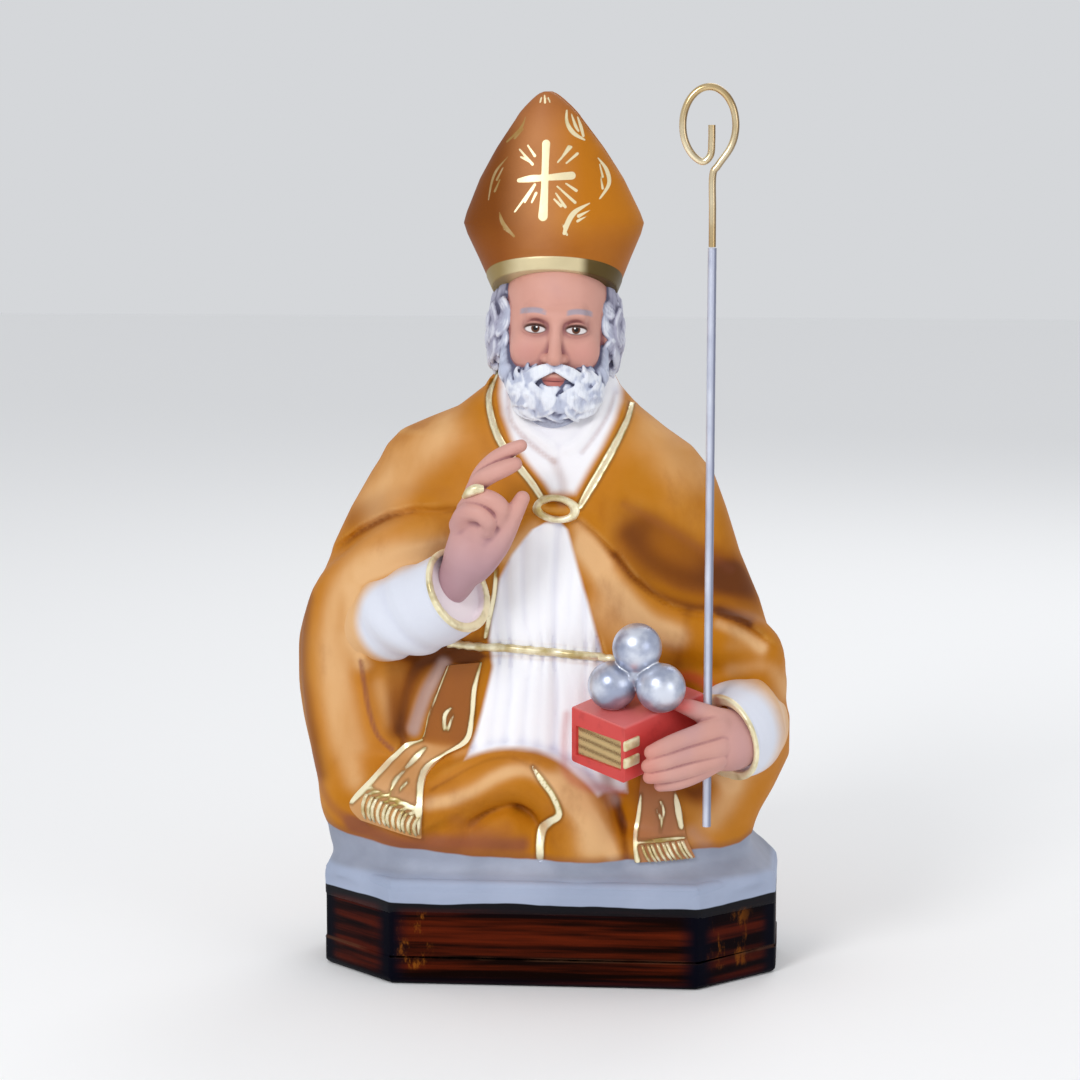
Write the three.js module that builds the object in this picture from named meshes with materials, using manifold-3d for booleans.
// A painted plaster bust of a blessing bishop on an octagonal plinth. The left hand holds a
// book with three balls, and a thin metal crozier stands loose in the left fist.
// Millimetres. +Z is up, +X is to the viewer's right, and the figure faces -Y.
// The origin is the middle of the plinth's underside.
import * as THREE from 'three';
import { mergeVertices } from 'three/addons/utils/BufferGeometryUtils.js';
import Module from 'manifold-3d';

const wasm = await Module();
wasm.setup();

// Driving sizes
const PLINTH = { width: 151, depth: 81, chamferX: 25, chamferY: 24, top: 36, ledge: 9.5 };
const SHAFT = { foot: 55.8, top: 241.8, footX: 53.1, topX: 53.6, y: -44, radius: 1.4 };
const WIRE = { radius: 1.15, neck: 264.5, tail: 280.2 };
const LOOP = { x: 52.4, z: 280.2, halfWidth: 8.3, halfHeight: 12.1, from: -35, to: 255 };
const GAP = 0.3;
const HEAD = { x: 0.9, y: -3, z: 212, turn: 0.08, tilt: 0.042 };
const MITRE = { rim: 225.3, slope: 0.28, peak: 290.8, cleftFloor: 258, cleftHalf: 3.4, band: 4.2 };
const BALL = 8;
const BOOK = { corner: [27, -60, 90.4], length: 25, width: 34, thick: 15.5 };
const CAPE = 2.2;
const PLEAT = { pitch: 7.2, depth: 0.55 };
const BELT = 1.35;
const CELL = { body: 2.4, head: 1.35, mitre: 2.4, hand: 1.1, sleeve: 1.7 };
const FACES = { body: 3300, head: 2200, mitre: 420, hand: 620, sleeve: 260, whole: 9300 };

// Small number helpers
const clamp = (v, lo, hi) => Math.min(Math.max(v, lo), hi);
const mix = (a, b, t) => a + (b - a) * t;

function ramp(lo, hi, v) {
  const t = clamp((v - lo) / (hi - lo), 0, 1);
  return t * t * (3 - 2 * t);
}

// A value that follows hand-set stations [place, value], straight between them
function track(stations, at) {
  if (at <= stations[0][0]) return stations[0][1];
  for (let i = 1; i < stations.length; i += 1) {
    const [x0, v0] = stations[i - 1];
    const [x1, v1] = stations[i];
    if (at <= x1) return mix(v0, v1, (at - x0) / (x1 - x0));
  }
  return stations[stations.length - 1][1];
}

// Clay: every form is a function of x, y, z that is negative inside the form
function merge(a, b, k) {
  const h = Math.max(k - Math.abs(a - b), 0) / k;
  return Math.min(a, b) - (h * h * k) / 4;
}

const carve = (a, b, k) => -merge(-a, b, k);

function egg(centre, radii) {
  const [cx, cy, cz] = centre;
  const [rx, ry, rz] = radii;
  return (x, y, z) => {
    const u = (x - cx) / rx;
    const v = (y - cy) / ry;
    const w = (z - cz) / rz;
    const k = Math.hypot(u, v, w);
    const slope = Math.hypot(u / rx, v / ry, w / rz);
    return slope < 1e-9 ? -Math.min(rx, ry, rz) : (k * (k - 1)) / slope;
  };
}

// A chain of round links through points [x, y, z, radius]
function chain(points) {
  const links = points.slice(1).map((b, i) => {
    const a = points[i];
    const d = [b[0] - a[0], b[1] - a[1], b[2] - a[2]];
    return { a, d, grow: b[3] - a[3], square: d[0] * d[0] + d[1] * d[1] + d[2] * d[2] };
  });
  return (x, y, z) => {
    let best = Infinity;
    for (const { a, d, grow, square } of links) {
      const px = x - a[0];
      const py = y - a[1];
      const pz = z - a[2];
      const t = clamp((px * d[0] + py * d[1] + pz * d[2]) / square, 0, 1);
      const far = Math.hypot(px - d[0] * t, py - d[1] * t, pz - d[2] * t) - a[3] - grow * t;
      best = Math.min(best, far);
    }
    return best;
  };
}

function mergeAll(forms, k) {
  return (x, y, z) => forms.reduce((d, form) => merge(d, form(x, y, z), k), 1e6);
}

const mirrored = (points) => points.map(([x, y, z, r]) => [-x, y, z, r]);

// Where the six tetrahedra of a grid cell are cut for each in/out pattern of their corners
const TETS = [[0, 1, 3, 7], [0, 1, 5, 7], [0, 2, 3, 7], [0, 2, 6, 7], [0, 4, 5, 7], [0, 4, 6, 7]];

function cornerPlace(c) {
  return [c & 1, (c >> 1) & 1, (c >> 2) & 1];
}

function turnsRight(p, q, r, s) {
  const [o, a, b, c] = [p, q, r, s].map(cornerPlace);
  const u = new THREE.Vector3(a[0] - o[0], a[1] - o[1], a[2] - o[2]);
  const v = new THREE.Vector3(b[0] - o[0], b[1] - o[1], b[2] - o[2]);
  const w = new THREE.Vector3(c[0] - o[0], c[1] - o[1], c[2] - o[2]);
  return u.cross(v).dot(w) > 0;
}

function cutsOf(tet, pattern) {
  const inside = tet.filter((c, i) => pattern & (1 << i));
  const outside = tet.filter((c, i) => !(pattern & (1 << i)));
  if (!inside.length || !outside.length) return [];
  if (inside.length === 2) {
    const [p, q] = inside;
    const [r, s] = outside;
    const faces = [[[p, r], [p, s], [q, s]], [[p, r], [q, s], [q, r]]];
    return turnsRight(p, q, r, s) ? faces : faces.map(([a, b, c]) => [a, c, b]);
  }
  const [lone, others, flip] = inside.length === 1
    ? [inside[0], outside, false] : [outside[0], inside, true];
  const face = others.map((c) => [lone, c]);
  const right = turnsRight(lone, ...others) !== flip;
  return [right ? face : [face[0], face[2], face[1]]];
}

const CUTS = TETS.map((tet) => Array.from({ length: 16 }, (_, pattern) => cutsOf(tet, pattern)));

// Turns a form into a closed skin of triangles inside a box
function skin(form, low, high, cell) {
  const size = low.map((v, i) => Math.ceil((high[i] - v) / cell) + 1);
  const step = [1, size[0], size[0] * size[1]];
  const value = new Float64Array(step[2] * size[2]);
  const place = (index) => {
    const k = Math.floor(index / step[2]);
    const j = Math.floor((index - k * step[2]) / step[1]);
    const i = index - k * step[2] - j * step[1];
    return [low[0] + i * cell, low[1] + j * cell, low[2] + k * cell];
  };
  const margin = cell / 4;
  for (let n = 0; n < value.length; n += 1) {
    const [x, y, z] = place(n);
    const wall = Math.max(low[0] + margin - x, low[1] + margin - y, low[2] + margin - z,
      x + margin - low[0] - (size[0] - 1) * cell, y + margin - low[1] - (size[1] - 1) * cell,
      z + margin - low[2] - (size[2] - 1) * cell);
    value[n] = Math.max(form(x, y, z), wall);
  }
  const points = [];
  const faces = [];
  const made = new Map();
  const offset = (c) => (c & 1) * step[0] + ((c >> 1) & 1) * step[1] + ((c >> 2) & 1) * step[2];
  const pointOn = (base, [c, d]) => {
    const [from, to] = c < d ? [c, d] : [d, c];
    const start = base + offset(from);
    const key = start * 8 + (from ^ to);
    if (!made.has(key)) {
      const end = base + offset(to);
      const t = clamp(value[start] / (value[start] - value[end]), 0.06, 0.94);
      const a = place(start);
      const b = place(end);
      made.set(key, points.length);
      points.push([mix(a[0], b[0], t), mix(a[1], b[1], t), mix(a[2], b[2], t)]);
    }
    return made.get(key);
  };
  for (let k = 0; k < size[2] - 1; k += 1) {
    for (let j = 0; j < size[1] - 1; j += 1) {
      for (let i = 0; i < size[0] - 1; i += 1) {
        const base = i + j * step[1] + k * step[2];
        TETS.forEach((tet, n) => {
          let pattern = 0;
          tet.forEach((c, bit) => {
            if (value[base + offset(c)] < 0) pattern |= 1 << bit;
          });
          for (const face of CUTS[n][pattern]) faces.push(face.map((edge) => pointOn(base, edge)));
        });
      }
    }
  }
  return { points, faces };
}

// A sum of squared distances to planes, as ten numbers
function planeSum(a, b, c) {
  const u = [b[0] - a[0], b[1] - a[1], b[2] - a[2]];
  const v = [c[0] - a[0], c[1] - a[1], c[2] - a[2]];
  const n = [u[1] * v[2] - u[2] * v[1], u[2] * v[0] - u[0] * v[2], u[0] * v[1] - u[1] * v[0]];
  const area = Math.hypot(...n) || 1e-12;
  const [x, y, z] = n.map((w) => w / area);
  const d = -(x * a[0] + y * a[1] + z * a[2]);
  return [x * x, x * y, x * z, x * d, y * y, y * z, y * d, z * z, z * d, d * d].map((w) => w * area);
}

function pointSum([x, y, z], weight) {
  return [1, 0, 0, -x, 1, 0, -y, 1, -z, x * x + y * y + z * z].map((w) => w * weight);
}

function costAt(q, [x, y, z]) {
  return q[0] * x * x + 2 * q[1] * x * y + 2 * q[2] * x * z + 2 * q[3] * x + q[4] * y * y
    + 2 * q[5] * y * z + 2 * q[6] * y + q[7] * z * z + 2 * q[8] * z + q[9];
}

function bestPoint(q, a, b) {
  const det = q[0] * (q[4] * q[7] - q[5] * q[5]) - q[1] * (q[1] * q[7] - q[5] * q[2])
    + q[2] * (q[1] * q[5] - q[4] * q[2]);
  const middle = [(a[0] + b[0]) / 2, (a[1] + b[1]) / 2, (a[2] + b[2]) / 2];
  if (Math.abs(det) < 1e-9) return middle;
  const [r, s, t] = [-q[3], -q[6], -q[8]];
  const x = (r * (q[4] * q[7] - q[5] * q[5]) - q[1] * (s * q[7] - q[5] * t)
    + q[2] * (s * q[5] - q[4] * t)) / det;
  const y = (q[0] * (s * q[7] - t * q[5]) - r * (q[1] * q[7] - q[5] * q[2])
    + q[2] * (q[1] * t - s * q[2])) / det;
  const z = (q[0] * (q[4] * t - s * q[5]) - q[1] * (q[1] * t - s * q[2])
    + r * (q[1] * q[5] - q[4] * q[2])) / det;
  const reach = Math.hypot(a[0] - b[0], a[1] - b[1], a[2] - b[2]);
  const drift = Math.hypot(x - middle[0], y - middle[1], z - middle[2]);
  return drift > reach * 1.5 ? middle : [x, y, z];
}

// A heap of edges, cheapest first
class Heap {
  constructor() {
    this.items = [];
  }

  push(item) {
    const { items } = this;
    let i = items.push(item) - 1;
    while (i > 0) {
      const up = (i - 1) >> 1;
      if (items[up].cost <= items[i].cost) break;
      [items[up], items[i]] = [items[i], items[up]];
      i = up;
    }
  }

  pop() {
    const { items } = this;
    const top = items[0];
    const last = items.pop();
    if (items.length) {
      items[0] = last;
      let i = 0;
      for (;;) {
        let low = i;
        for (const child of [2 * i + 1, 2 * i + 2]) {
          if (child < items.length && items[child].cost < items[low].cost) low = child;
        }
        if (low === i) break;
        [items[low], items[i]] = [items[i], items[low]];
        i = low;
      }
    }
    return top;
  }
}

function faceNormal(a, b, c) {
  const u = [b[0] - a[0], b[1] - a[1], b[2] - a[2]];
  const v = [c[0] - a[0], c[1] - a[1], c[2] - a[2]];
  return [u[1] * v[2] - u[2] * v[1], u[2] * v[0] - u[0] * v[2], u[0] * v[1] - u[1] * v[0]];
}

// Joins the ends of the edges that matter least until the skin has few enough faces
function coarsen({ points, faces }, target) {
  const place = points.map((p) => [...p]);
  const tris = faces.map((f) => [...f]);
  const around = place.map(() => new Set());
  const sums = place.map((p) => pointSum(p, 2e-3));
  const stamp = new Int32Array(place.length);
  tris.forEach((tri, n) => {
    const sum = planeSum(...tri.map((v) => place[v]));
    for (const v of tri) {
      around[v].add(n);
      sum.forEach((w, i) => {
        sums[v][i] += w;
      });
    }
  });
  const heap = new Heap();
  const near = (v) => {
    const found = new Set();
    for (const n of around[v]) for (const w of tris[n]) if (w !== v) found.add(w);
    return found;
  };
  const offer = (a, b) => {
    const sum = sums[a].map((w, i) => w + sums[b][i]);
    const at = bestPoint(sum, place[a], place[b]);
    heap.push({ cost: costAt(sum, at), a, b, at, when: stamp[a] + stamp[b] });
  };
  const keepsFacing = (v, other, at) => {
    for (const n of around[v]) {
      const tri = tris[n];
      if (tri.includes(other)) continue;
      const before = faceNormal(...tri.map((w) => place[w]));
      const after = faceNormal(...tri.map((w) => (w === v ? at : place[w])));
      const size = Math.hypot(...before) * Math.hypot(...after);
      const dot = before[0] * after[0] + before[1] * after[1] + before[2] * after[2];
      if (dot < 0.25 * size || Math.hypot(...after) < 1e-3) return false;
    }
    return true;
  };
  place.forEach((_, v) => {
    for (const w of near(v)) if (w > v) offer(v, w);
  });
  let left = tris.length;
  while (left > target && heap.items.length) {
    const { a, b, at, when } = heap.pop();
    if (!around[a].size || !around[b].size || when !== stamp[a] + stamp[b]) continue;
    const ring = near(a);
    const shared = [...near(b)].filter((w) => ring.has(w));
    if (shared.length !== 2 || !keepsFacing(a, b, at) || !keepsFacing(b, a, at)) continue;
    for (const n of [...around[b]]) {
      if (tris[n].includes(a)) {
        for (const v of tris[n]) around[v].delete(n);
        left -= 1;
      } else {
        tris[n] = tris[n].map((v) => (v === b ? a : v));
        around[a].add(n);
      }
    }
    around[b].clear();
    place[a] = at;
    sums[a] = sums[a].map((w, i) => w + sums[b][i]);
    stamp[a] += 1;
    stamp[b] += 1;
    for (const w of near(a)) offer(a, w);
  }
  const kept = [...new Set([...around.flatMap((set) => [...set])])];
  return { points: place, faces: kept.map((n) => tris[n]) };
}

function bodyOf({ points, faces }) {
  const geometry = new THREE.BufferGeometry();
  geometry.setAttribute('position', new THREE.Float32BufferAttribute(points.flat(), 3));
  geometry.setIndex(faces.flat());
  return geometry;
}

function toSolid(shape) {
  const bare = shape.clone();
  for (const name of Object.keys(bare.attributes)) {
    if (name !== 'position') bare.deleteAttribute(name);
  }
  const merged = mergeVertices(bare, 1e-4);
  return new wasm.Manifold(new wasm.Mesh({
    numProp: 3,
    vertProperties: new Float32Array(merged.attributes.position.array),
    triVerts: new Uint32Array(merged.index.array),
  }));
}

function toGeometry(solid) {
  const { vertProperties, triVerts } = solid.getMesh();
  const geometry = new THREE.BufferGeometry();
  geometry.setAttribute('position', new THREE.Float32BufferAttribute(vertProperties, 3));
  geometry.setIndex(new THREE.Uint32BufferAttribute(triVerts, 1));
  return geometry;
}

// The faces of the largest connected skin, without the walls of pockets sealed inside it
function outerSkin({ points, faces }) {
  const owner = points.map((_, i) => i);
  const root = (v) => {
    let top = v;
    while (owner[top] !== top) top = owner[top];
    owner[v] = top;
    return top;
  };
  for (const [a, b, c] of faces) {
    owner[root(b)] = root(a);
    owner[root(c)] = root(a);
  }
  const count = new Map();
  for (const [a] of faces) count.set(root(a), (count.get(root(a)) ?? 0) + 1);
  const [largest] = [...count].reduce((best, entry) => (entry[1] > best[1] ? entry : best));
  return { points, faces: faces.filter(([a]) => root(a) === largest) };
}

// Joins the many short edges that unions leave along their seams
function withFewerFaces(solid, target) {
  const { vertProperties, triVerts } = solid.getMesh();
  const threes = (list) => Array.from({ length: list.length / 3 }, (_, i) => (
    Array.from(list.subarray(3 * i, 3 * i + 3))
  ));
  const whole = outerSkin({ points: threes(vertProperties), faces: threes(triVerts) });
  return toSolid(bodyOf(coarsen(whole, target)));
}

function clay(form, low, high, cell, faces) {
  return toSolid(bodyOf(coarsen(skin(form, low, high, cell), faces)));
}

// A round rod along points [x, y, z]
function rod(points, radius, sides = 8, steps = 12) {
  const path = new THREE.CatmullRomCurve3(points.map((p) => new THREE.Vector3(...p)));
  const section = new THREE.Shape();
  section.absarc(0, 0, radius, 0, Math.PI * 2);
  return new THREE.ExtrudeGeometry(section, {
    curveSegments: sides / 2,
    steps,
    extrudePath: path,
  });
}

// A solid lofted through rings with the same number of points, closed at both ends
function loft(rings) {
  const points = rings.flat();
  const n = rings[0].length;
  const faces = [];
  for (let k = 0; k + 1 < rings.length; k += 1) {
    for (let i = 0; i < n; i += 1) {
      const j = (i + 1) % n;
      const [a, b, c, d] = [k * n + i, k * n + j, (k + 1) * n + j, (k + 1) * n + i];
      faces.push([a, b, c], [a, c, d]);
    }
  }
  for (let i = 1; i + 1 < n; i += 1) {
    const last = (rings.length - 1) * n;
    faces.push([0, i + 1, i], [last, last + i, last + i + 1]);
  }
  return bodyOf({ points, faces });
}

// The plinth: an octagon with a low ledge round its foot and softened edges
function plinthRing(z, inset) {
  const x = PLINTH.width / 2 - inset;
  const y = PLINTH.depth / 2 - inset;
  const cut = inset * (Math.SQRT2 - 2);
  const [cx, cy] = [PLINTH.chamferX + cut, PLINTH.chamferY + cut];
  return [
    [x - cx, -y], [x, -y + cy], [x, y - cy], [x - cx, y],
    [-x + cx, y], [-x, y - cy], [-x, -y + cy], [-x + cx, -y],
  ].map(([px, py]) => [px, py, z]);
}

function plinth() {
  const { top, ledge } = PLINTH;
  return loft([
    plinthRing(0, 1.6), plinthRing(1.6, 0.3), plinthRing(3.5, 0), plinthRing(ledge, 0),
    plinthRing(ledge + 0.7, 0.7), plinthRing(top - 2.2, 0.9), plinthRing(top - 0.6, 1.6),
    plinthRing(top, 3.2),
  ]);
}

// The clothed figure's mass: left, right, front and back reach at each height
const LEFT = [
  [34, -74.4], [38, -74.6], [43, -74.8], [48, -75.6], [58, -78.4], [66, -80.5], [82, -84.1],
  [97, -86.7], [108, -85.6], [123, -80.6], [138, -74.7], [153, -67.5], [165, -60.6], [169, -58],
  [174, -55.4], [179, -50.6], [183, -41.5], [187, -31.5], [194, -22.5], [203, -18],
];
const RIGHT = [
  [34, 74.2], [38, 73], [42, 69.4], [46, 66.4], [53, 69.6], [63, 74.8], [74, 78.6],
  [84, 80.6], [94, 78.8], [109, 73.8], [124, 68.8], [139, 62.2], [154, 57.4], [165, 53.4],
  [174, 46.2], [180, 37.6], [187, 28.8], [194, 22.6], [203, 18],
];
const FRONT = [
  [34, 39], [38, 37], [43, 32], [60, 29], [100, 27], [140, 27], [160, 26], [175, 23], [185, 20],
  [194, 18], [203, 15],
];
const BACK = [
  [34, 39], [38, 37.5], [44, 35.5], [60, 36], [100, 34], [130, 32], [150, 30], [165, 26],
  [180, 21.5], [194, 17.5], [203, 15],
];
const SQUARE = [[34, 5], [40, 3.6], [50, 2.9], [80, 2.5], [150, 2.4], [180, 2.2]];

function mass(x, y, z) {
  const left = track(LEFT, z);
  const right = track(RIGHT, z);
  const depth = track(y < 0 ? FRONT : BACK, z);
  const n = track(SQUARE, z);
  const half = (right - left) / 2;
  const u = Math.abs(x - (right + left) / 2) / half;
  const v = Math.abs(y) / depth;
  const g = Math.max((u ** n + v ** n) ** (1 / n), 0.3);
  const slope = Math.hypot((u / g) ** (n - 1) / half, (v / g) ** (n - 1) / depth);
  const side = (g - 1) / Math.max(slope, 1 / 90);
  return Math.max(side, z - 203, 31 - z);
}

// Edges of the garments, as heights over x or places over z
const CAPE_EDGE = [
  [-86, 108], [-80, 124], [-77, 134], [-70.8, 141.2], [-62.9, 147.5], [-53.1, 153],
  [-43.7, 155.5], [-34, 155.8], [-4, 155.3], [10, 152.6], [16.2, 147.5], [22.7, 141.3],
  [28.9, 133.9], [35, 128.2], [41.2, 124], [47.3, 122.5], [53.4, 121.2], [63.4, 119.1],
  [68.2, 115.8], [72.1, 112.3], [78, 98],
];
const COLLAR_LEFT = [
  [156, 1], [160, -2.1], [164.8, -5.5], [170.8, -10.6], [177.8, -15.9], [185.6, -19.2],
  [191.7, -20.5],
];
const COLLAR_RIGHT = [
  [156, 6], [157, 10.6], [161.8, 13.4], [168, 17], [175.7, 21.3], [184.1, 25.3], [189.3, 26.7],
];
const ALB_LEFT = [
  [63, -30], [73.7, -26.9], [82.8, -23.6], [92.8, -20.9], [103.5, -18.5], [112.6, -19.7],
  [124.2, -18.7], [132.5, -16.3], [140.8, -12.1], [149.1, -5.5], [153, 2],
];
const ALB_RIGHT = [
  [63, 27], [80, 25], [95, 22], [108.2, 18.4], [118.1, 15.7], [129.6, 12.4], [141.1, 9.2],
  [149.2, 6.9], [153, 3],
];

function dress(x, y, z) {
  const facing = ramp(6, -4, y);
  const capeFront = ramp(-1.2, 1.2, z - track(CAPE_EDGE, x));
  const capeBack = ramp(85, 150, z);
  const inCollar = Math.min(x - track(COLLAR_LEFT, z), track(COLLAR_RIGHT, z) - x, z - 157);
  const cape = mix(capeBack, capeFront, facing) * (1 - ramp(-0.8, 0.8, inCollar) * facing);
  const inAlb = Math.min(x - track(ALB_LEFT, z), track(ALB_RIGHT, z) - x, 152 - z, z - 62);
  const alb = ramp(-1, 1, inAlb) * facing;
  const wave = (2 * Math.PI * x) / PLEAT.pitch + 0.6 * Math.sin(z / 11);
  const pleats = PLEAT.depth * (Math.cos(wave) + 0.7 * Math.cos(wave * 1.63 + 1.1));
  const waist = 1.2 * Math.exp(-(((z - 108) / 5) ** 2));
  const backFolds = 1.4 * Math.cos(x / 7.5 + 0.6) * ramp(8, 24, y) * ramp(165, 110, z);
  return CAPE * (cape - 1) - (0.6 + waist) * alb + pleats * alb + backFolds;
}

// The heavier folds, as links laid on the mass
const leftCurtain = chain([
  [-38, -22, 147, 7], [-50, -21, 142.5, 8], [-62, -17, 132, 9], [-69, -12, 118, 11],
  [-70.5, -11, 102, 12], [-69.5, -12, 84, 12], [-67, -13, 66, 11], [-63, -13, 50, 10],
]);
const leftOuterFold = chain([
  [-74, -4, 122, 5], [-78.6, -3, 106, 6.4], [-78, -4, 88, 6.4], [-73.8, -5, 70, 6], [-68, -6, 54, 6],
]);
const underSleeve = chain([
  [-51, -30, 106, 11], [-49.5, -31, 92, 10.5], [-48, -32, 80, 9], [-50, -34, 72, 6],
]);
const lapLeft = chain([
  [-64, -17, 56, 11], [-54, -22, 59, 12], [-44, -24, 56, 12.5], [-34, -24, 49, 12],
]);
const swag = chain([
  [-44, -23, 50, 12], [-31, -24.5, 60, 11], [-20, -25.5, 65, 10], [-9, -26, 67, 9.4],
  [1, -26, 64, 10], [8, -26, 57, 11.5], [10.5, -25, 47, 13], [11, -24, 38, 14],
]);
const innerWave = chain([[-26, -24, 43, 9], [-13.5, -25.5, 50, 9], [-6, -24, 42, 9]]);
const hemRoll = chain([
  [-66, -10, 44, 7], [-52, -22, 43, 8], [-36, -25, 43, 7.5], [-16, -25, 42.5, 7],
  [4, -25, 42.5, 8], [24, -25, 42.5, 8], [44, -22, 45, 8], [58, -13, 47, 8],
]);
const swagCrease = chain([
  [-36, -36.5, 50, 2], [-22, -37, 57, 2.4], [-12.5, -37.5, 61.5, 2.8], [-5.5, -37.5, 56, 2.8],
  [-2.5, -37.5, 44, 2.4],
]);
const rightWrap = chain([
  [24, -21, 133, 5.5], [34, -21, 121, 6.5], [46, -21, 114, 8], [58, -19, 111, 9],
  [67.5, -14, 107, 8.6], [72, -7, 97, 6.5],
]);
const rightCurtain = chain([
  [68, -8, 76, 11], [62, -13, 64, 11], [54, -15, 52, 10], [44, -18, 56, 9], [36, -20, 60, 8],
]);
const sleeveFold = chain([[34, -18, 104, 8], [48, -18, 101, 8], [60, -14, 98, 8]]);
const rightHollow = chain([[27, -33, 66, 3.4], [25, -35, 56, 3.4], [26, -36, 48, 3]]);

function draperyForm(x, y, z) {
  let d = mass(x, y, z) - dress(x, y, z);
  d = carve(d, underSleeve(x, y, z), 7);
  d = merge(d, leftCurtain(x, y, z), 6);
  d = merge(d, leftOuterFold(x, y, z), 3);
  d = merge(d, lapLeft(x, y, z), 6);
  d = merge(d, hemRoll(x, y, z), 5);
  d = merge(d, swag(x, y, z), 2.5);
  d = carve(d, swagCrease(x, y, z), 3);
  d = merge(d, innerWave(x, y, z), 2);
  d = merge(d, rightWrap(x, y, z), 6);
  d = merge(d, sleeveFold(x, y, z), 5);
  d = merge(d, rightCurtain(x, y, z), 7);
  return carve(d, rightHollow(x, y, z), 3);
}

// The head in its own frame: x across the face, -y forward, z up from the middle of the head
const skull = egg([0, 3, 8], [16.6, 20, 19]);
const jaw = egg([0, -5, -6], [14, 14.6, 18.4]);
const brow = chain([[-7.5, -16.6, 6.8, 2.2], [0, -18, 6.2, 2], [7.5, -16.6, 6.8, 2.2]]);
const nose = chain([[0, -18.6, 4, 1.5], [0, -21, -2, 1.9], [0, -22.6, -6.8, 2.4]]);
const neck = chain([[0, 3, -18, 12.5], [0, 6, -32, 13.5]]);
const EYES = [-6.6, 6.6];

function faceForm(x, y, z) {
  let d = merge(skull(x, y, z), jaw(x, y, z), 8);
  d = merge(d, brow(x, y, z), 3);
  for (const side of EYES) {
    d = carve(d, egg([side, -20.4, 2.6], [4.6, 3.4, 3])(x, y, z), 2.5);
    d = merge(d, egg([side, -14.9, 2.4], [3.9, 3.5, 2.9])(x, y, z), 0.8);
    d = merge(d, egg([side * 1.35, -13, -5], [5, 5, 5.5])(x, y, z), 4);
    d = merge(d, egg([side * 0.38, -19.4, -7.4], [1.7, 2.2, 1.6])(x, y, z), 1);
    d = merge(d, egg([side * 2.48, -2, -0.5], [2.2, 4.4, 6.6])(x, y, z), 1.5);
  }
  d = merge(d, nose(x, y, z), 1.6);
  return merge(d, neck(x, y, z), 5);
}

// Wavy locks in rows behind the temples and round the back of the head
function hairLocks() {
  const locks = [];
  for (const side of [-1, 1]) {
    for (let i = 0; i < 5; i += 1) {
      const z = 14 - 5.6 * i;
      const out = [16.6, 19.2, 20.6, 20.8, 18.6][i];
      locks.push([
        [side * 14.2, -9.5, z + 1.5, 1.8], [side * (out - 1.5), -6.5, z + 0.2, 3],
        [side * out, -0.5, z - 2.6, 3.6], [side * (out - 1), 6, z - 1.2, 3.2],
        [side * (out - 4.2), 11.5, z - 4, 2.8],
      ]);
    }
  }
  for (let j = -3; j <= 3; j += 1) {
    const turn = j * 0.42;
    const at = (r, z, swing, size) => [
      r * Math.sin(turn + swing), 3 + r * Math.cos(turn + swing), z, size,
    ];
    locks.push([at(18, 12, 0, 2.6), at(19.5, 3, 0.09, 3.6), at(19.6, -6, -0.06, 3.6),
      at(17.6, -15, 0.1, 2.8)]);
  }
  return locks.map(chain);
}

// Curls of the beard in three rows, each a hook, and the moustache over them
function beardCurls() {
  const curls = [];
  const rows = [
    { count: 8, spread: 1.35, z: -11, drop: 7, reach: 17, size: 2.6 },
    { count: 7, spread: 1.2, z: -17.5, drop: 6.5, reach: 17, size: 2.8 },
    { count: 6, spread: 1.05, z: -23.5, drop: 5.5, reach: 14.8, size: 2.8 },
  ];
  rows.forEach(({ count, spread, z, drop, reach, size }, row) => {
    for (let i = 0; i < count; i += 1) {
      const turn = spread * ((2 * i) / (count - 1) - 1);
      const hook = (i + row) % 2 ? 0.13 : -0.13;
      const low = z - 1.6 * Math.cos(turn * 1.2);
      const at = (swing, height, r) => [
        r * Math.sin(turn + swing), -4.5 - r * Math.cos(turn + swing), height,
      ];
      curls.push([
        [...at(0, low + 2, reach - 1.2), size * 0.7], [...at(hook, low - drop * 0.35, reach), size],
        [...at(-hook, low - drop * 0.8, reach - 0.6), size],
        [...at(-hook * 2, low - drop, reach - 1.6), size * 0.6],
      ]);
    }
  });
  const whisker = [
    [0.6, -22, -9.6, 1.6], [4.4, -21.6, -10.8, 2.3], [8.6, -18.6, -14.4, 2.2],
    [11, -16.6, -18.6, 1.4],
  ];
  return [...curls, whisker, mirrored(whisker), [[0, -19.6, -16.4, 1.4], [0, -20, -20, 2]]].map(chain);
}

const hairMass = mergeAll([
  egg([0, 8, -1], [18.4, 14, 19]),
  chain([[-16, -3, 12, 4], [-18, 0, 2, 5.2], [-17, 4, -9, 5]]),
  chain([[16, -3, 12, 4], [18, 0, 2, 5.2], [17, 4, -9, 5]]),
], 4);
const beardMass = mergeAll([
  egg([0.6, -12, -18.5], [15.4, 9.6, 11]),
  chain([[-15, -6, -6, 3], [-13.6, -9.5, -13, 4.8], [0, -13.5, -22.5, 7]]),
  chain([[15, -6, -6, 3], [14, -9.5, -13, 4.8], [1, -13.5, -22.5, 7]]),
], 4);

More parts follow.
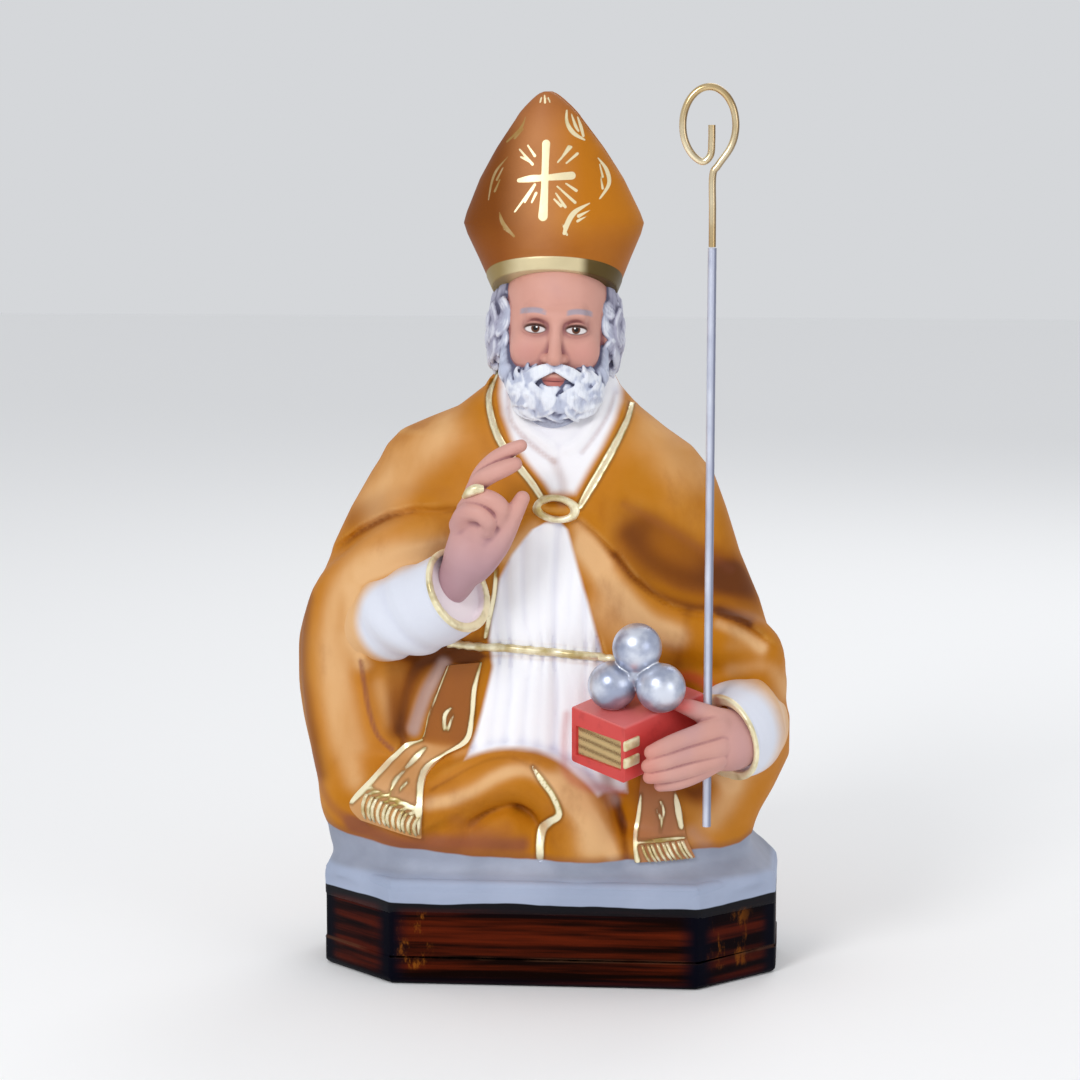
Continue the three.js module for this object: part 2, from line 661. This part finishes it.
function headForm() {
  const hair = mergeAll(hairLocks(), 1.1);
  const beard = mergeAll(beardCurls(), 0.9);
  const mouth = egg([0, -20.6, -14.4], [4.2, 2.6, 1.5]);
  return (wx, wy, wz) => {
    const [dx, dy, dz] = [wx - HEAD.x, wy - HEAD.y, wz - HEAD.z];
    const tx = dx * Math.cos(HEAD.tilt) + dz * Math.sin(HEAD.tilt);
    const z = dz * Math.cos(HEAD.tilt) - dx * Math.sin(HEAD.tilt);
    const x = tx * Math.cos(HEAD.turn) + dy * Math.sin(HEAD.turn);
    const y = dy * Math.cos(HEAD.turn) - tx * Math.sin(HEAD.turn);
    let d = faceForm(x, y, z);
    d = merge(d, merge(hairMass(x, y, z), hair(x, y, z), 0.8), 0.6);
    const bearded = carve(merge(beardMass(x, y, z), beard(x, y, z), 0.7), mouth(x, y, z), 0.8);
    return merge(d, bearded, 0.6);
  };
}

// The mitre: two stiff shields, front and back, joined at the sides over a round band
const MITRE_HALF = [
  [218, 18], [224, 19.8], [227, 21.2], [236, 25], [244, 28.6], [247.6, 29.7], [251, 28.6],
  [262, 23.7], [272, 17.9], [280, 12.8], [286, 8.8], [289, 6.2], [291, 3],
];
const MITRE_DEPTH = [
  [218, 21], [226, 21.6], [240, 20.4], [252, 17.8], [264, 14.4], [276, 10.8], [286, 7.8],
  [291, 5.6],
];
const MITRE_LEAN = [[226, 0.7], [247.6, 0.1], [290, -1.8]];

function mitreForm(x, y, z) {
  const half = track(MITRE_HALF, z);
  const depth = track(MITRE_DEPTH, z);
  const u = Math.abs(x - track(MITRE_LEAN, z)) / half;
  const v = Math.abs(y - 0.5) / depth;
  const g = Math.max(Math.hypot(u, v), 0.2);
  const side = (g - 1) / Math.max(Math.hypot(u / half, v / depth) / g, 1 / 40);
  const rim = MITRE.rim - MITRE.slope * y - z;
  const bandUp = z - (MITRE.rim + MITRE.band - MITRE.slope * y);
  const cleft = MITRE.cleftHalf * ramp(MITRE.cleftFloor, MITRE.peak, z);
  const shell = Math.max(side - 0.7 * ramp(0.6, -0.6, bandUp), rim, z - MITRE.peak);
  return z > MITRE.cleftFloor ? carve(shell, Math.abs(y - 0.5) - cleft, 1) : shell;
}

// The raised right hand, two fingers up, and its wide sleeve
const blessingParts = [
  [egg([-20.6, -44, 148.5], [8.8, 5.4, 11.5]), 4],
  [chain([[-24.6, -38, 124, 6], [-24.2, -42.5, 134, 5.8], [-22.5, -44, 143, 6.2]]), 4],
  [chain([[-22.5, -41.5, 160, 3], [-19.8, -43, 170.6, 2.5], [-12.5, -45, 175.8, 2.3],
    [-6.6, -46, 178.8, 1.9]]), 1.2],
  [chain([[-23.5, -43, 159, 3], [-21, -45.5, 167.6, 2.6], [-14.1, -47.6, 171.2, 2.45],
    [-8.2, -48.6, 173.3, 2]]), 1],
  [chain([[-24, -44.5, 157, 3.2], [-20.5, -49, 162.6, 2.8], [-13.6, -51, 160.8, 2.6],
    [-11.6, -51, 157.3, 2.4], [-14.6, -48.6, 154.8, 2.1]]), 0.9],
  [chain([[-25.6, -44.5, 153, 3.2], [-24, -49, 158.2, 2.7], [-18, -51.6, 158, 2.5],
    [-15.9, -51.6, 154.8, 2.3], [-18.6, -48.6, 152.6, 2]]), 0.9],
  [chain([[-18, -41.5, 140, 4.6], [-14.6, -44.5, 149, 3.5], [-9.4, -47.2, 156.4, 2.8],
    [-5.2, -49, 163, 2.2]]), 2],
];
const jewel = chain([[-24.2, -48.6, 163.7, 1.4], [-21.2, -51.2, 165.2, 2], [-18.2, -51.6, 165.4, 1.5]]);

// A sleeve end: a wide mouth with a rolled rim round a hollow, cut square to its axis
function sleeveForm(links, mouth, axis, radius) {
  const tube = chain(links);
  const bore = chain([
    [...mouth.map((v, i) => v + axis[i] * 6), radius - 1.2],
    [...mouth.map((v, i) => v - axis[i] * 5), radius - 2.6],
  ]);
  return (x, y, z) => {
    const along = (x - mouth[0]) * axis[0] + (y - mouth[1]) * axis[1] + (z - mouth[2]) * axis[2];
    const band = 0.6 * ramp(-3, -2.2, along);
    return carve(Math.max(tube(x, y, z) - band, along), bore(x, y, z), 0.6);
  };
}

const RIGHT_SLEEVE = { mouth: [-25.4, -44, 131.4], axis: [0.72, -0.5, 0.48], radius: 13.6 };
const LEFT_SLEEVE = { mouth: [60.6, -40.5, 83.4], axis: [-0.76, -0.62, -0.19], radius: 13 };
const rightSleeve = sleeveForm([
  [-58, -19, 114, 11.5], [-46, -29, 119.6, 12.4], [-32, -39.4, 127, 13.4], [-22, -46.4, 133.6, 13.6],
], RIGHT_SLEEVE.mouth, RIGHT_SLEEVE.axis, RIGHT_SLEEVE.radius);
const leftSleeve = sleeveForm([
  [66, -12, 90, 11.6], [65.6, -26, 88, 12.4], [64, -37, 85, 12.9], [57, -43.5, 82.4, 13],
], LEFT_SLEEVE.mouth, LEFT_SLEEVE.axis, LEFT_SLEEVE.radius);

// The left hand, which holds the book from the side, thumb on top
const holdingParts = [
  [egg([57.6, -44.5, 83.6], [10.5, 6.6, 10]), 4],
  [chain([[70, -34, 84, 8.6], [63, -41, 83.6, 8.6]]), 4],
  [chain([[60, -42.5, 89, 4.6], [54, -44.5, 91.6, 3.4], [48.6, -46, 94.4, 2.6],
    [43, -46.6, 96, 2.1]]), 2],
  [chain([[54, -48.5, 88, 4], [44, -54.5, 84.2, 3.1], [36.4, -59.6, 80.6, 2.5]]), 1.4],
  [chain([[54, -49, 82, 4], [44, -56, 78, 3.1], [35.2, -60.4, 75, 2.4]]), 1],
  [chain([[55, -47.4, 77, 3.8], [47, -53.6, 73.6, 2.9], [40.4, -57.4, 72.4, 2.3]]), 1],
];

function handForm(parts) {
  return (x, y, z) => parts.reduce((d, [form, k]) => merge(d, form(x, y, z), k), 1e3);
}

// Where the front of the drapery lies at a given x and z
function frontAt(x, z) {
  for (let y = -60; y < 0; y += 0.5) {
    if (draperyForm(x, y, z) < 0) return y;
  }
  return 0;
}

// A flat band laid over the drapery between two edges given as [x, z] points
function ribbon(leftEdge, rightEdge, proud, buried) {
  const rings = leftEdge.map((a, i) => {
    const b = rightEdge[i];
    const shares = [0, 0.5, 1];
    const front = shares.map((t) => [mix(a[0], b[0], t), mix(a[1], b[1], t)]);
    const outer = front.map(([x, z]) => [x, frontAt(x, z) - proud, z]);
    const inner = front.map(([x, z]) => [x, frontAt(x, z) + buried, z]);
    return [...outer, ...inner.reverse()];
  });
  return loft(rings);
}

// A row of fringe strands that hang from one edge to another
function fringe(topLeft, topRight, lowLeft, lowRight, count, width) {
  return Array.from({ length: count }, (_, i) => {
    const t = (i + 0.5) / count;
    const top = topLeft.map((v, k) => mix(v, topRight[k], t));
    const low = lowLeft.map((v, k) => mix(v, lowRight[k], t));
    const rings = [0, 0.55, 1].map((along) => {
      const x = mix(top[0], low[0], along) + 0.35 * Math.sin(i * 2.4 + along * 3);
      const z = mix(top[1], low[1], along);
      const y = frontAt(x, z);
      const half = width * (0.5 - 0.14 * along);
      return [[x - half, y + 1.5, z], [x, y - 1.3, z], [x + half, y + 1.5, z]];
    });
    return loft(rings);
  });
}

const STOLE_LEFT = [
  [[-33.1, 103.8], [-21.4, 105.1]], [[-36.4, 95.4], [-23.2, 95.9]], [[-39.3, 87.1], [-24, 86.3]],
  [[-41.4, 79.1], [-26, 78.5]], [[-48, 76.3], [-34.3, 73.6]], [[-57.5, 66.9], [-39.4, 68.1]],
  [[-62.6, 61.6], [-40, 60.2]],
];
const STOLE_RIGHT = [
  [[31.1, 66.5], [40.2, 67.3]], [[30, 57.3], [43.2, 58.5]], [[29.5, 50.8], [45.4, 51.4]],
];
const FRINGE = { strands: 10, leftLow: [[-60.2, 54.2], [-40.2, 50]], rightLow: [[29.6, 42.6], [48.2, 44]] };

function trimmings() {
  const edge = (bands, side) => bands.map((pair) => pair[side]);
  const lastLeft = STOLE_LEFT[STOLE_LEFT.length - 1];
  const lastRight = STOLE_RIGHT[STOLE_RIGHT.length - 1];
  const clasp = new THREE.TorusGeometry(4.7, 1.15, 6, 14);
  clasp.rotateX(Math.PI / 2);
  clasp.scale(1.32, 1.2, 0.74);
  clasp.rotateY(0.12);
  clasp.translate(2.9, frontAt(2.9, 158) - 0.8, 156);
  const beltPath = [[-33, 111], [-26, 110.4], [-14, 109.6], [-2, 108.7], [8, 107.8], [18, 107], [24, 106.4]];
  return [
    ribbon(edge(STOLE_LEFT, 1), edge(STOLE_LEFT, 0), 1.2, 2.5),
    ribbon(edge(STOLE_RIGHT, 1), edge(STOLE_RIGHT, 0), 1.1, 2.5),
    ...fringe(...lastLeft, ...FRINGE.leftLow, FRINGE.strands, 2.2),
    ...fringe(...lastRight, ...FRINGE.rightLow, FRINGE.strands, 1.9),
    rod(beltPath.map(([x, z]) => [x, frontAt(x, z) - 0.5, z]), BELT, 6, 12),
    clasp,
  ];
}

// The book is held aslant, one corner to the front; its frame runs along the page edge,
// along the spine edge and up through the covers
function bookFrame() {
  const pages = new THREE.Vector3(-17.5, 18, 0.8).normalize();
  const up = new THREE.Vector3(-0.187, -0.226, 1).normalize();
  const side = new THREE.Vector3().crossVectors(up, pages).negate().normalize();
  return { pages, side, up: new THREE.Vector3().crossVectors(side, pages).normalize() };
}

function bookBlock(along, across, rise, centre) {
  const { pages, side, up } = bookFrame();
  const box = new THREE.BoxGeometry(along, across, rise);
  const place = new THREE.Matrix4().makeBasis(pages, side, up);
  if (place.determinant() < 0) place.makeBasis(pages, side.negate(), up);
  const at = new THREE.Vector3(...BOOK.corner)
    .addScaledVector(pages, centre[0])
    .addScaledVector(bookFrame().side, centre[1])
    .addScaledVector(up, centre[2]);
  box.applyMatrix4(place);
  box.translate(at.x, at.y, at.z);
  return box;
}

function book() {
  const { length, width, thick } = BOOK;
  const cover = toSolid(bookBlock(length, width, thick, [length / 2, width / 2, -thick / 2]));
  const pagesCut = toSolid(bookBlock(length - 3, 2, thick - 5, [length / 2 - 0.4, 0.2, -thick / 2]));
  const clasps = [-5.2, -10.4].map((z) => toSolid(bookBlock(1, 6.4, 3.6, [0, 4.2, z])));
  return clasps.reduce((solid, clasp) => solid.add(clasp), cover.subtract(pagesCut));
}

function balls() {
  const centres = [[30.6, -46.4, 114.3], [22.6, -44.6, 101.6], [38.4, -49.4, 102.4]];
  return centres.map((c) => {
    const ball = new THREE.IcosahedronGeometry(BALL, 2);
    ball.translate(...c);
    return ball;
  });
}

function shaftAxis(z) {
  return SHAFT.footX + ((SHAFT.topX - SHAFT.footX) * (z - SHAFT.foot)) / (SHAFT.top - SHAFT.foot);
}

function straightRod(low, high, radius, sides) {
  const ring = (z) => Array.from({ length: sides }, (_, i) => {
    const turn = (i * 2 * Math.PI) / sides;
    return [shaftAxis(z) + radius * Math.cos(turn), SHAFT.y + radius * Math.sin(turn), z];
  });
  return loft([ring(low), ring(high)]);
}

function bust() {
  const parts = [
    clay(draperyForm, [-92, -52, 32], [86, 44, 204], CELL.body, FACES.body),
    clay(headForm(), [-28, -34, 174], [30, 26, 238], CELL.head, FACES.head),
    clay(mitreForm, [-32, -24, 216], [32, 25, 292], CELL.mitre, FACES.mitre),
    clay(handForm(blessingParts), [-36, -56, 120], [-2, -32, 184], CELL.hand, FACES.hand),
    clay(handForm(holdingParts), [30, -66, 66], [80, -24, 102], CELL.hand, FACES.hand),
    clay(rightSleeve, [-72, -62, 100], [-8, -6, 152], CELL.sleeve, FACES.sleeve),
    clay(leftSleeve, [44, -60, 66], [84, 4, 106], CELL.sleeve, FACES.sleeve),
    clay(jewel, [-28, -55, 160], [-14, -44, 169], 0.9, 80),
    toSolid(plinth()),
    ...trimmings().map(toSolid),
    book(),
    ...balls().map(toSolid),
  ];
  const whole = parts.reduce((solid, part) => solid.add(part));
  const hole = toSolid(straightRod(SHAFT.foot - 6, SHAFT.top, SHAFT.radius + GAP, 10));
  return withFewerFaces(whole.subtract(hole), FACES.whole);
}

function crookPath() {
  const { x, z, halfWidth, halfHeight, from, to } = LOOP;
  const foot = SHAFT.top + GAP;
  const points = [[SHAFT.topX, foot], [SHAFT.topX, 254], [SHAFT.topX, WIRE.neck],
    [SHAFT.topX + 1.7, WIRE.neck + 3.2]];
  for (let turn = from; turn <= to; turn += 29) {
    const t = THREE.MathUtils.degToRad(turn);
    points.push([x + halfWidth * Math.cos(t), z + halfHeight * Math.sin(t)]);
  }
  points.push([x + 0.4, z - 9.4], [x + 0.8, z - 5], [x + 0.8, WIRE.tail]);
  return points.map(([px, pz]) => [px, SHAFT.y, pz]);
}

function finish(colour, roughness, metalness) {
  return new THREE.MeshStandardMaterial({ color: colour, roughness, metalness });
}

function subPart(name, geometry, material) {
  geometry.computeVertexNormals();
  const mesh = new THREE.Mesh(geometry, material);
  mesh.name = name;
  return mesh;
}

const group = new THREE.Group();
group.add(
  subPart('bust', toGeometry(bust()), finish(0xb9742c, 0.6, 0)),
  subPart('crozier_shaft', straightRod(SHAFT.foot, SHAFT.top, SHAFT.radius, 10), finish(0x8b90a3, 0.45, 0.8)),
  subPart('crozier_crook', rod(crookPath(), WIRE.radius, 6, 44), finish(0xb8975a, 0.3, 1)),
);

export default group;
